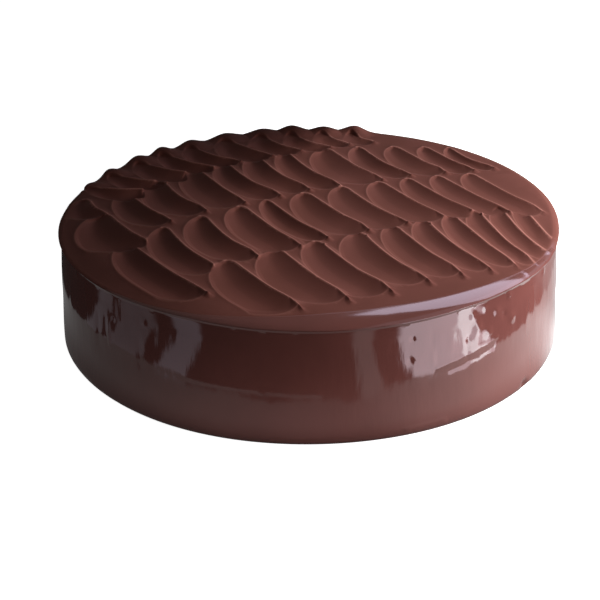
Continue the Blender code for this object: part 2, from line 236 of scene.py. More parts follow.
# The lumps on the side: the direction in degrees from the front to the right, the height up the
# side, the breadth, and how far it stands out, or goes in where that is negative
LUMPS = (
    (37.5, 43.0, 2.6, 0.55),
    (35.0, 39.0, 1.5, -0.40),
    (40.5, 38.5, 2.2, 0.50),
    (36.0, 49.5, 1.6, 0.45),
    (39.5, 50.5, 1.2, 0.35),
    (47.0, 52.0, 1.7, 0.50),
    (43.0, 47.0, 1.9, 0.45),
    (45.5, 43.5, 1.5, -0.40),
    (48.0, 40.0, 2.2, 0.45),
    (21.5, 46.0, 1.3, -0.35),
    (21.0, 36.0, 1.4, -0.35),
    (-37.5, 47.5, 1.8, 0.35),
    (-47.0, 42.0, 1.6, -0.30),
    (-63.0, 51.0, 1.2, 0.30),
    (63.0, 50.0, 2.0, 0.40),
    (53.5, 1.0, 2.4, -1.60),
)
# The creases that the scraper left: the direction and the height where one starts and where it
# ends, and how far it stands out
CREASES = (
    ((27.0, 30.0), (43.0, 35.0), 0.22),
    ((30.0, 27.0), (42.0, 30.5), -0.18),
    ((-28.0, 27.0), (2.0, 25.0), 0.07),
    ((20.0, 3.0), (29.0, 3.6), 0.30),
)
CREASE_WIDTH = 0.9
# Upright ripples, like short drips: the directions between which some lie, how many, and the most
# that they stand out or go in. Their heights, breadths and half lengths lie between two values.
DRIP_SEED = 5
DRIPS = (
    (-74, -30, 34, 0.19),
    (26, 64, 22, 0.16),
    (19, 28, 9, 0.13),
)
DRIP_HEIGHTS = (31, 51)
DRIP_BREADTHS = (1.0, 2.2)
DRIP_LENGTHS = (3.5, 9.0)

# The mesh: rings of points over the top, steps of the rounding and the side, and the triangles kept
TOP_RINGS = 370
ROUNDING_STEPS = 12
SIDE_STEPS = 44
KEPT_TRIANGLES = 190000

# The ganache. For the top and for the side: the darkest and the lightest brown, and the least and the
# most roughness. The crests and other thin edges of the strokes carry a painted highlight: a lighter
# brown over a width in millimetres and by these shares for their left side, their crest and their end.
TOP_BROWNS = ((0.092, 0.0318, 0.0247), (0.106, 0.0372, 0.0299))
SIDE_BROWNS = ((0.088, 0.0292, 0.0250), (0.100, 0.0330, 0.0282))
HIGHLIGHT_BROWN = (0.270, 0.115, 0.095)
HIGHLIGHT_WIDTH = 0.46
HIGHLIGHT_STRENGTHS = (0.26, 1.0, 0.24)
TOP_ROUGHNESS = (0.56, 0.64)
SIDE_ROUGHNESS = (0.06, 0.10)
SPECULAR_LEVEL = (0.03, 0.5)
# The noises, each by its scale, detail and roughness: the cloud that mixes the browns and the
# roughness, each between two values of it, the fine grain on top, and the ripples down the side
CLOUD_NOISE = (28.0, 3.0, 0.55)
CLOUD_OF_BROWNS = (0.3, 0.7)
CLOUD_OF_ROUGHNESS = (0.25, 0.75)
GRAIN_NOISE = (900.0, 2.0, 0.5)
RIPPLE_NOISE = (1.0, 3.0, 0.5)
# The heights of the grain and the ripples in metres, the heights up the side between which the ripples
# end, and how many of them come to a metre along each axis
GRAIN_HEIGHT = 0.000028
RIPPLE_HEIGHT = 0.00016
RIPPLE_ENDS = (0.045, 0.049)
RIPPLE_SCALE = (180.0, 180.0, 45.0)
# The satin top becomes glossy over this many millimetres where its rim turns down at the front, which
# lies between two directions in degrees with soft ends. Elsewhere it does so where it grows steep: as
# the upward part of its normal falls from the second of two values to the first.
GLOSS_BLEND = 1.2
GLOSSY_FRONT = (-40, 66)
GLOSSY_SOFT = 12.0
STEEP_NORMALS = (0.4, 0.7)

# The camera: its distance and height angle, the point it looks at, its roll, and its lens and sensor
CAMERA_DISTANCE = 0.780
CAMERA_HEIGHT = math.radians(27.79)
CAMERA_TARGET = Vector((-0.0048, 0.0, 0.00888))
CAMERA_ROLL = math.radians(-0.91)
CAMERA_LENS = 94.5
CAMERA_SENSOR = 36.0

# The studio. Each light: its place, the point it shines at, its two sides, colour, power in watts,
# and whether it lights what is dull and whether it shows in gloss.
LIGHTS = {
    "right_light": {
        "place": (0.30, 0.0, 0.20),
        "target": (0, 0, 0.03),
        "sides": (0.2, 0.2),
        "colour": (0.87, 0.93, 0.94),
        "power": 2.2,
        "dull": True,
        "gloss": False,
    },
    "front_right_light": {
        "place": (0.25, -0.20, 0.20),
        "target": (0, 0, 0.03),
        "sides": (0.2, 0.2),
        "colour": (1.0, 0.86, 0.81),
        "power": 0.7,
        "dull": True,
        "gloss": False,
    },
    "side_light": {
        "place": (0.47, -0.04, 0.028),
        "target": (0, 0, 0.028),
        "sides": (0.30, 0.05),
        "colour": (0.85, 0.95, 1.0),
        "power": 3.2,
        "dull": True,
        "gloss": False,
    },
    "right_window": {
        "place": (0.45, -0.35, 1.17),
        "target": (0, -0.35, 1.17),
        "sides": (1.9, 1.85),
        "colour": (0.90, 0.84, 1.0),
        "power": 6.0,
        "dull": False,
        "gloss": True,
    },
    "back_window": {
        "place": (0.82, 1.17, 1.40),
        "target": (0, 0, 0.05),
        "sides": (1.34, 0.67),
        "colour": (0.87, 0.79, 1.0),
        "power": 12.5,
        "dull": False,
        "gloss": True,
    },
}
# A dark flag hangs over the cake and keeps part of this light from its left and its back: its place
# to the right, its lower edge by places to the back and their heights, and its upper edge's height
FLAG_PLACE = 0.02
FLAG_LOWER = ((-0.20, 0.106), (0.0, 0.099), (0.20, 0.028))
FLAG_UPPER = 0.35
WORLD_COLOUR = (1.0, 0.97, 0.95)
WORLD_STRENGTH = 0.17
FLOOR_SIZE = 40.0
FLOOR_COLOUR = (0.80, 0.80, 0.80)
FLOOR_GLOW = 1.16
FLOOR_ROUGHNESS = 0.7
FLOOR_SPECULAR = 0.2

# The card: a ring on the floor that only the gloss sees, from an inner to an outer radius. It is pale
# near the cake, up to a border with a soft edge, and dark farther out. Bright fields like windows lie
# on both parts. Each field: the directions where it starts and ends, in degrees from the front to the
# right, its strength, its colour, and how many degrees its ends are soft.
CARD_INNER = 0.118
CARD_OUTER = 1.5
CARD_BORDER = 0.161
CARD_SOFT = 0.0012
CARD_NEAR_LIGHT = 0.36
CARD_FAR_LIGHT = 0.03
NEAR_FIELDS = (
    (25, 75, 1.3, (1.0, 0.95, 0.95), 20),
    (61, 165, 1.6, (0.97, 0.99, 1.0), 14),
    (86, 165, 0.8, (0.97, 0.99, 1.0), 8),
)
FAR_FIELDS = (
    (28, 58, 5.2, (1.0, 0.86, 0.95), 1.5),
    (48, 55, 10.0, (0.97, 0.95, 1.0), 1.2),
    (13, 19.5, 0.8, (1.0, 0.90, 0.90), 1.0),
    (-80, -53, 0.55, (0.95, 0.90, 1.0), 1.5),
    (-46, -36, 0.88, (0.9, 0.86, 1.0), 1.0),
    (92, 170, 0.45, (1.0, 1.0, 1.0), 8),
)
# The border moves out to this radius at the right and in to this one at the left, each between two
# directions
BORDER_RIGHT = 0.166
BORDER_RIGHT_TURN = (10, 38)
BORDER_LEFT = 0.149
BORDER_LEFT_TURN = (-105, -62)
# The card is dimmed by a share close to the cake, up to this radius, but less so towards the right,
# and by another share towards the left. At the back the border and the dimming are the same on both
# sides, where they meet.
CARD_DIMMED = 0.40
CARD_DIM_TO = 0.142
CARD_UNDIMMED_TURN = (50, 74)
CARD_LEFT_DIMMED = 0.55
CARD_LEFT_TURN = (-75, -20)
CARD_BACK_TURN = (130, 175)
# Dark tears run through the far fields up to these directions: how fine they are round the card and
# outwards, their noise, and the values of it between which a tear begins
TEAR_TURN = (-69, -63)
TEARS_ROUND = 10.0
TEARS_OUTWARDS = 9.0
TEAR_NOISE = (1.0, 2.0, 0.5)
TEAR_EDGE = (0.50, 0.54)

# The glow that the floor throws back on to the side: a ring that only what is dull sees, from the
# first radius to the second, with its even light and its fields
GLOW_INNER = 0.126
GLOW_OUTER = 0.158
GLOW_LIGHT = 0.25
GLOW_FIELDS = ((-25, 170, 2.1, (1.0, 1.0, 1.0), 30),)
# How many sides both rings have, and how high they lie over the floor
RING_SIDES = 96
RING_HEIGHT = 0.0002


def between(pair, share):
    return pair[0] + (pair[1] - pair[0]) * share


def smooth(value):
    value = np.clip(value, 0, 1)
    return value * value * (3 - 2 * value)


def wall(distance, width):
    """Rises from 0 at an edge to 1 at this width from it."""
    return 1 - (1 - np.clip(distance / width, 0, 1)) ** 2


def quarter_round(value):
    return np.sqrt(1 - (1 - np.clip(value, 0, 1)) ** 2)


def distance_to_line(across, down, line):
    """Distance from each point to a line of straight pieces."""
    nearest = np.full(across.shape, np.inf)
    for (across_0, down_0), (across_1, down_1) in zip(line[:-1], line[1:]):
        step_across = across_1 - across_0
        step_down = down_1 - down_0
        size = max(step_across**2 + step_down**2, 1e-12)
        share = ((across - across_0) * step_across + (down - down_0) * step_down) / size
        share = np.clip(share, 0, 1)
        off_across = across - across_0 - share * step_across
        off_down = down - down_0 - share * step_down
        nearest = np.minimum(nearest, off_across**2 + off_down**2)
    return np.sqrt(nearest)


class Stroke:
    """One stroke: a scoop with an arched start, a crisp crest on its right and a ridge at its tail."""

    def __init__(self, start, tail, width, depth, crest, flank, ends, left_stroke, draw):
        stray = np.array([draw.uniform(-TAIL_STRAY, TAIL_STRAY), draw.uniform(-TAIL_STRAY, TAIL_STRAY)])
        first = start[0] * ALONG + start[1] * FRONT
        last = (tail[0] + stray[0]) * ALONG + (tail[1] + stray[1]) * FRONT
        self.down = (last - first) / np.linalg.norm(last - first)
        self.right = np.array([-self.down[1], self.down[0]])
        self.lead = ends["lead"]
        self.start = first - self.lead * self.down
        self.length = float(np.linalg.norm(last - self.start))
        self.width = width
        self.depth = depth * draw.uniform(1 - DEPTH_STRAY, 1 + DEPTH_STRAY)
        self.crest_most = crest
        self.flank = flank
        self.bow = draw.uniform(*BOW)
        self.tip_turn = draw.uniform(*TIP_TURN)
        self.slant = draw.uniform(*END_SLANT)
        self.left_stroke = left_stroke
        self.ridge = ends["ridge"]
        self.burr = ends["burr"] * draw.uniform(*BURR_STRAY)
        self.hump = ends["hump"] * draw.uniform(*HUMP_STRAY)

    def crest(self, down):
        share = np.clip(down / self.length, 0, 1)
        rise = smooth((share - TIP_SHARES[0]) / (TIP_SHARES[1] - TIP_SHARES[0]))
        fall = 1 - smooth((share - TIP_SHARES[1]) / (1 - TIP_SHARES[1]))
        return self.tip_turn * rise * fall - self.bow * np.sin(math.pi * share)

    def sides(self, down):
        """The scoop's left and right side, as distances across."""
        apex = self.crest(down) - APEX_SHARE * self.width
        right = apex + APEX_SHARE * self.width * quarter_round(down / HOOK_LENGTH)
        left = apex - (1 - APEX_SHARE) * self.width * quarter_round(down / ARCH_LENGTH)
        if self.left_stroke is not None:
            x = self.start[0] + left * self.right[0] + down * self.down[0]
            y = self.start[1] + left * self.right[1] + down * self.down[1]
            left = np.minimum(left + self.left_stroke.overlap(x, y), right)
        return left, right

    def local(self, x, y):
        """A place's distances across and down this stroke."""
        off_x = x - self.start[0]
        off_y = y - self.start[1]
        return off_x * self.right[0] + off_y * self.right[1], off_x * self.down[0] + off_y * self.down[1]

    def overlap(self, x, y):
        """How far a point has to move right to leave this stroke's crest and the ribbon beside it."""
        across, down = self.local(x, y)
        past = self.crest(down) + RIBBON - across
        beside = smooth(down / HOOK_LENGTH) * (1 - smooth((down - self.length - self.ridge) / RIBBON_END))
        return np.clip(past, 0, None) * beside

    def end(self, share):
        """How far down the scoop ends, from its left side at 0 to its crest at 1."""
        share = np.clip(share, 0, 1)
        return self.length + END_BULGE * np.sin(math.pi * share) - self.slant * (1 - share) ** 2

    def outline(self):
        """The scoop's left side, right side and end as lines of points."""
        step = np.linspace(0, 1, EDGE_POINTS)
        crowded = step**EDGE_CROWDING
        left_down = crowded * self.end(0.0)
        right_down = crowded * self.end(1.0)
        left = np.stack([self.sides(left_down)[0], left_down], axis=1)
        right = np.stack([self.sides(right_down)[1], right_down], axis=1)
        across = left[-1, 0] + (right[-1, 0] - left[-1, 0]) * step
        return left, right, np.stack([across, self.end(step)], axis=1)

    def relief(self, x, y):
        """Which points are near and, for each, the cut, the crest, the lips and how far inside it is."""
        across, down = self.local(x, y)
        near = (across > -self.width - REACH) & (across < REACH) & (down > -REACH)
        near = np.nonzero(near & (down < self.length + REACH))[0]
        across, down = across[near], down[near]
        left, right, end = self.outline()
        to_left = distance_to_line(across, down, left)
        to_right = distance_to_line(across, down, right)
        to_end = distance_to_line(across, down, end)
        side_left, side_right = self.sides(np.clip(down, 0, self.length))
        width = np.maximum(side_right - side_left, LEAST_WIDTH)
        share = np.clip((across - side_left) / width, 0, 1)
        end_down = self.end(share)
        inside = (down > 0) & (across > side_left) & (across < side_right) & (down < end_down)
        at_start = between(START_DEPTHS, smooth(share / LOWEST_SHARE))
        depth = self.depth * between((at_start, 1.0), smooth(down / START_LENGTH)) * self.grown(down)
        drop = between(DROP_WIDTHS, smooth(down / DROP_LENGTH))
        depth = depth * smooth(to_left / drop) * wall(end_down - down, END_SLOPE)
        rise = np.clip((share - LOWEST_SHARE) / (1 - LOWEST_SHARE), 0, 1) ** RISE_BEND
        slant = LEFT_SHARE * np.clip(1 - share / LOWEST_SHARE, 0, 1) ** 2
        crest = self.crest_height(down)
        inner = np.minimum(np.minimum(to_left, to_right), to_end)
        outer = np.exp(-to_right / self.flank)
        inner_pile = np.maximum(rise * smooth((end_down - down) / END_FADE), outer)
        piled = crest * np.where(inside, inner_pile, outer)
        lips = self.lips(across, down, to_left, to_end)
        cut = np.where(inside, depth * (1 - rise) * (1 - slant), 0)
        return near, cut, piled, lips, np.where(inside, inner, -inner)

    def crest_height(self, down):
        share = down / self.length
        growth = between((CREST_START, 1.0), smooth(share / CREST_FULL[0])) * self.grown(down)
        waning = smooth((share - CREST_FULL[1]) / (1 - CREST_FULL[1]))
        return self.crest_most * growth * between((1.0, CREST_TAIL), waning)

    def lips(self, across, down, to_left, to_end):
        """The low lips round the stroke, the hump and the burr at its start, and the ridge past its tail."""
        left = LEFT_LIP[0] * np.exp(-to_left / LEFT_LIP[1]) * self.grown(down)
        end = END_LIP[0] * np.exp(-to_end / END_LIP[1])
        foot = self.crest(self.length)
        tip = (foot - RIDGE_TURN * self.ridge, self.length + self.ridge)
        to_ridge = distance_to_line(across, down, ((foot, self.length), tip))
        fading = 1 - smooth(2 * (down - self.length) / self.ridge - 1)
        ridge = self.crest_most * CREST_TAIL * fading * np.exp(-to_ridge / min(self.flank, RIDGE_FLANK))
        bead_off = (across - tip[0]) ** 2 + (down - tip[1]) ** 2
        bead = BEAD_HEIGHT * np.exp(-bead_off / BEAD_WIDTH**2)
        burr_off = (across - self.crest(self.lead)) ** 2 + (down - self.lead) ** 2
        burr = self.burr * np.exp(-burr_off / BURR_WIDTH**2)
        return np.maximum.reduce([left, end, ridge]) + bead + burr + self.humped(across, down)

    def grown(self, down):
        """How much a scoop has grown out of the hump at its start."""
        return smooth(down / HUMP_LENGTH) if self.hump > 0 else 1.0

    def humped(self, across, down):
        over = np.exp(-(((across / self.width - HUMP_MIDDLE) / HUMP_WIDTH) ** 2))
        along = smooth((down + REACH) / HUMP_RISE) * (1 - smooth(down / HUMP_LENGTH))
        return self.hump * over * along


def arc_front(arc, along):
    level, bend, middle = arc
    return level + bend * (along - middle) ** 2


def row_strokes(row, draw):
    strokes = []
    left_stroke = None
    before = row["starts"][0] - row["first"]
    for number, along in enumerate(row["starts"]):
        share = number / (len(row["starts"]) - 1)
        pitch = along - before
        tail_along = along + between(row["sweep"], share)
        start = (along, arc_front(row["start_arc"], along))
        tail = (tail_along, arc_front(row["tail_arc"], tail_along))
        width = pitch - between(row["gap"], share)
        depth = between(row["depth"], share)
        crest = between(row["crest"], share)
        flank = between(row["flank"], share)
        left_stroke = Stroke(start, tail, width, depth, crest, flank, row["ends"], left_stroke, draw)
        strokes.append(left_stroke)
        before = along
    return strokes


def all_strokes():
    draw = random.Random(SEED)
    strokes = []
    for row in ROWS:
        strokes += row_strokes(row, draw)
    for start, tail, width, depth, crest in LEFT_STROKES:
        strokes.append(Stroke(start, tail, width, depth, crest, LEFT_FLANK, LEFT_ENDS, None, draw))
    return strokes


def from_front(angle):
    """Angles from the X axis as degrees from the front to the right, from -180 to 180."""
    degrees = np.degrees(angle) + 90
    return np.where(degrees > 180, degrees - 360, degrees)


def outline_stray(angle):
    return sum(size * np.cos(count * angle + start) for count, size, start in OUTLINE_WAVES)


def rounding(angle):
    """The breadth and the height of the rim's rounding in these directions."""
    directions, breadths, heights = zip(*ROUNDINGS)
    breadth = np.interp(from_front(angle), directions, breadths, period=360)
    return breadth, np.interp(from_front(angle), directions, heights, period=360)


def shoulder_radius(angle):
    """Where the top ends and its rim turns down."""
    return LIP_RADIUS + outline_stray(angle) - rounding(angle)[0]


def rim_fade(x, y):
    """How much of the relief is left, as it fades towards the rim at the front and the sides."""
    angle = np.arctan2(y, x)
    kept = between((RIM_SHARE, 1.0), smooth(BACK_FADE * np.sin(angle)))
    return between((kept, 1.0), smooth((shoulder_radius(angle) - np.hypot(x, y)) / RIM_FADE))


def insides(reliefs, size):
    """How far inside the strokes each point is: the most, in which stroke, and the most but for that one."""
    most = np.full(size, -np.inf)
    owner = np.full(size, -1)
    second = np.full(size, -np.inf)
    for number, (near, _, _, _, inner) in enumerate(reliefs):
        first = inner > most[near]
        second[near] = np.where(first, most[near], np.maximum(second[near], inner))
        most[near] = np.where(first, inner, most[near])
        owner[near] = np.where(first, number, owner[near])
    return most, owner, second


def stroke_relief(x, y):
    """Height of the strokes over the smoothed top, for arrays of points."""
    reliefs = [stroke.relief(x, y) for stroke in all_strokes()]
    most, owner, second = insides(reliefs, x.size)
    cut = np.zeros(x.shape)
    piled = np.zeros(x.shape)
    for number, (near, stroke_cut, crest, lips, _) in enumerate(reliefs):
        others = np.where(owner[near] == number, second[near], most[near])
        crest = crest * (1 - smooth(others / LIP_INSIDE))
        lips = lips * (1 - smooth(most[near] / LIP_INSIDE))
        cut[near] = np.maximum(cut[near], stroke_cut)
        piled[near] = np.maximum.reduce([piled[near], crest, lips])
    return rim_fade(x, y) * (piled - cut)


def stroke_highlight_mask(x, y):
    """The mask of the painted highlight: 1 on the crest of a stroke, less on its other edges, and 0 where
    another stroke cuts them away.
    """
    strokes = all_strokes()
    reliefs = [stroke.relief(x, y) for stroke in strokes]
    most, _, _ = insides(reliefs, x.size)
    edge_highlight = np.zeros(x.shape)
    for stroke, (near, _, _, _, _) in zip(strokes, reliefs):
        across, down = stroke.local(x[near], y[near])
        for line, strength in zip(stroke.outline(), HIGHLIGHT_STRENGTHS):
            off = distance_to_line(across, down, line)
            line_highlight = strength * stroke.grown(down) * np.exp(-((off / HIGHLIGHT_WIDTH) ** 2))
            edge_highlight[near] = np.maximum(edge_highlight[near], line_highlight)
    return edge_highlight * (1 - smooth(most / LIP_INSIDE))


def dip(x, y):
    """How far the top dips towards its rim."""
    direction = from_front(np.arctan2(y, x))
    inwards = LIP_RADIUS - np.hypot(x, y)
    deep = np.zeros(x.shape)
    for middle, depth, spread, reach in DIPS:
        deep += depth * np.exp(-(((direction - middle) / spread) ** 2)) * smooth(1 - inwards / reach)
    return deep


def top_height(x, y):
    level = TOP_LEVEL + RISE_TO_RIGHT * x - FALL_TO_BACK * y - dip(x, y)
    return level + stroke_relief(x, y)


def side_stray(angle, height):
    """The unevenness that the scraper leaves on the side."""
    draw = random.Random(SIDE_SEED)
    stray = np.zeros(angle.shape)
    for _ in range(SIDE_WAVES):
        turns = draw.randint(2, WAVES_ROUND)
        climbs = draw.uniform(-WAVES_UP, WAVES_UP)
        start = draw.uniform(0, 2 * math.pi)
        size = SIDE_WAVE_SIZE / (1 + SMALLER_ROUND * turns + SMALLER_UP * abs(climbs))
        stray += size * np.cos(turns * angle + 2 * math.pi * climbs * height / TOP_LEVEL + start)
    return stray


def side_details(angle, height):
    """How far the lumps, the creases and the ripples of the side stand out."""
    one_degree = math.radians(1) * BELLY_RADIUS
    round_side = from_front(angle) * one_degree
    out = np.zeros(angle.shape)
    for direction, level, breadth, size in LUMPS:
        off = (round_side - direction * one_degree) ** 2 + (height - level) ** 2
        out += size * np.exp(-off / breadth**2)
    for (first, first_level), (last, last_level), size in CREASES:
        line = ((first * one_degree, first_level), (last * one_degree, last_level))
        out += size * np.exp(-((distance_to_line(round_side, height, line) / CREASE_WIDTH) ** 2))
    draw = random.Random(DRIP_SEED)
    for first, last, count, size in DRIPS:
        for _ in range(count):
            across = (round_side - draw.uniform(first, last) * one_degree) / draw.uniform(*DRIP_BREADTHS)
            up = (height - draw.uniform(*DRIP_HEIGHTS)) / draw.uniform(*DRIP_LENGTHS)
            out += size * draw.uniform(-1, 1) * np.exp(-(across**2) - up**4)
    return out


def top_points():
    """The middle of the top and rings round it, the ring of number n with 6 n points."""
    angles = [np.zeros(1)]
    shares = [np.zeros(1)]
    for ring in range(1, TOP_RINGS + 1):
        count = 6 * ring
        angles.append(np.arange(count) * 2 * math.pi / count)
        shares.append(np.full(count, ring / TOP_RINGS))
    angle = np.concatenate(angles)
    radius = np.concatenate(shares) * shoulder_radius(angle)
    x = radius * np.cos(angle)
    y = radius * np.sin(angle)
    return np.stack([x, y, top_height(x, y)], axis=1)


def side_rings(rim_height, angle):
    """Rings of points from the shoulder, over the rim and the neck and down to the foot."""
    stray = outline_stray(angle)
    breadth, height = rounding(angle)
    rings = []
    whole_way = math.sin(LIP_TURN) - math.sin(SHOULDER_TURN)
    whole_drop = math.cos(SHOULDER_TURN) - math.cos(LIP_TURN)
    for step in range(1, ROUNDING_STEPS + 1):
        turn = between((SHOULDER_TURN, LIP_TURN), step / ROUNDING_STEPS)
        inwards = breadth * (math.sin(LIP_TURN) - math.sin(turn)) / whole_way
        lowered = height * (math.cos(SHOULDER_TURN) - math.cos(turn)) / whole_drop
        rings.append((LIP_RADIUS - inwards, rim_height - lowered))
    neck_height = rings[-1][1] - NECK_DROP
    rings.append((NECK_RADIUS, neck_height))
    for step in range(1, SIDE_STEPS + 1):
        height = between((neck_height, FOOT_CHAMFER), step / SIDE_STEPS)
        upper = smooth((height - BELLY_HEIGHT) / (neck_height - BELLY_HEIGHT))
        lower = smooth((BELLY_HEIGHT - height) / BELLY_HEIGHT)
        radius = BELLY_RADIUS + (NECK_RADIUS - BELLY_RADIUS) * upper + (FOOT_RADIUS - BELLY_RADIUS) * lower
        rings.append((radius + side_stray(angle, height) + side_details(angle, height), height))
    rings.append((FOOT_RADIUS - FOOT_CHAMFER, np.zeros(angle.shape)))
    points = []
    for radius, height in rings:
        x = (radius + stray) * np.cos(angle)
        y = (radius + stray) * np.sin(angle)
        points.append(np.stack([x, y, height], axis=1))
    return points


def top_faces():
    """Triangles between each ring of the top and the next, which has six points more."""
    faces = []
    for ring in range(1, TOP_RINGS + 1):
        inner_first = 0 if ring == 1 else 1 + 3 * (ring - 1) * (ring - 2)
        inner_count = max(1, 6 * (ring - 1))
        outer_first = 1 + 3 * ring * (ring - 1)
        outer_count = 6 * ring
        low = np.arange(outer_count)
        step = low % ring
        near = (low // ring) * (ring - 1) + step
        here = inner_first + near % inner_count
        beyond = outer_first + (low + 1) % outer_count
        faces.append(np.stack([here, outer_first + low, beyond], axis=1))
        inward = np.stack([here, beyond, inner_first + (near + 1) % inner_count], axis=1)
        faces.append(inward[step < ring - 1])
    return np.concatenate(faces)


def side_faces(first, count, rings):
    """Pairs of triangles between the rings of the side, which follow each other from this first point."""
    faces = []
    here = np.arange(count)
    beyond = (here + 1) % count
    for ring in range(rings):
        upper = first + ring * count
        lower = upper + count
        faces.append(np.stack([upper + here, lower + here, lower + beyond], axis=1))
        faces.append(np.stack([upper + here, lower + beyond, upper + beyond], axis=1))
    return np.concatenate(faces)


def cake_mesh():
    top = top_points()
    count = 6 * TOP_RINGS
    rim = top[-count:]
    angle = np.arctan2(rim[:, 1], rim[:, 0])
    side = side_rings(rim[:, 2], angle)
    points = np.concatenate([top] + side) * METRES * SHARE_OF_SIZE
    rim_first = len(top) - count
    triangles = np.concatenate([top_faces(), side_faces(rim_first, count, len(side))])
    faces = [tuple(triangle) for triangle in triangles.tolist()]
    foot_first = len(points) - count
    faces.append(tuple(range(len(points) - 1, foot_first - 1, -1)))
    data = bpy.data.meshes.new("cake")
    data.from_pydata(points.tolist(), [], faces)
    data.shade_smooth()
    return data


def thin_out(cake):
    """Gives the cake the same surface with fewer triangles, which keeps the crests and spends few where
    it is smooth."""
    cake.data.calc_loop_triangles()
    thin = cake.modifiers.new("thin", "DECIMATE")
    thin.ratio = KEPT_TRIANGLES / len(cake.data.loop_triangles)
    graph = bpy.context.evaluated_depsgraph_get()
    data = bpy.data.meshes.new_from_object(cake.evaluated_get(graph))
    cake.modifiers.remove(thin)
    cake.data = data


class Nodes:
    """Adds nodes to a material and links them, one value or link for each named input."""

    def __init__(self, name):
        self.material = bpy.data.materials.new(name)
        self.material.use_nodes = True
        self.tree = self.material.node_tree
        self.shader = self.tree.nodes["Principled BSDF"]

    def set(self, node, inputs):
        for key, value in inputs.items():
            if isinstance(value, bpy.types.NodeSocket):
                self.tree.links.new(value, node.inputs[key])
            else:
                node.inputs[key].default_value = value

    def add(self, kind, inputs=None, **settings):
        node = self.tree.nodes.new(kind)
        for key, value in settings.items():
            setattr(node, key, value)
        self.set(node, inputs or {})
        return node

    def maths(self, operation, *values):
        return self.add("ShaderNodeMath", dict(enumerate(values)), operation=operation).outputs[0]

    def ramp(self, value, low, high, low_to=0.0, high_to=1.0):
        """The value's way from low to high, smoothed, as a way from low_to to high_to."""
        inputs = {"Value": value, "From Min": low, "From Max": high, "To Min": low_to, "To Max": high_to}
        return self.add("ShaderNodeMapRange", inputs, interpolation_type="SMOOTHSTEP").outputs["Result"]

    def noise(self, place, scale, detail, roughness):
        inputs = {"Vector": place, "Scale": scale, "Detail": detail, "Roughness": roughness}
        return self.add("ShaderNodeTexNoise", inputs).outputs["Fac"]

    def mix(self, share, first, second):
        """A mix of two colours, which are the node's inputs 6 and 7 and its output 2."""
        node = self.add("ShaderNodeMix", data_type="RGBA")
        self.set(node, {0: share, 6: first, 7: second})
        return node.outputs[2]


def mark(data, name, values):
    data.attributes.new(name, "FLOAT", "POINT").data.foreach_set("value", values.astype(np.float32))


def mark_surface(data):
    """Writes two marks into the mesh. "gloss" is 0 on top and 1 from where the rim turns down, and the
    other mark is a painted highlight, 1 on the crests of the strokes and less on their other thin edges."""
    points = np.empty(len(data.vertices) * 3, np.float32)
    data.vertices.foreach_get("co", points)
    x, y, _ = points.reshape(-1, 3).T.astype(np.float64) / METRES
    normals = np.empty(len(data.vertices) * 3, np.float32)
    data.vertex_normals.foreach_get("vector", normals)
    angle = np.arctan2(y, x)
    beyond = np.hypot(x, y) - shoulder_radius(angle)
    direction = from_front(angle)
    off_front = np.maximum(GLOSSY_FRONT[0] - direction, direction - GLOSSY_FRONT[1])
    at_rim = smooth(beyond / GLOSS_BLEND) * (1 - smooth(off_front / GLOSSY_SOFT))
    steep = smooth((STEEP_NORMALS[1] - normals[2::3]) / (STEEP_NORMALS[1] - STEEP_NORMALS[0]))
    mark(data, "gloss", np.where(beyond > 0, np.maximum(at_rim, steep), 0))
    # The mark of the painted highlight along the strokes' crests and thin edges
    mark(data, "edge_highlight", np.where(beyond < 0, stroke_highlight_mask(x, y), 0))


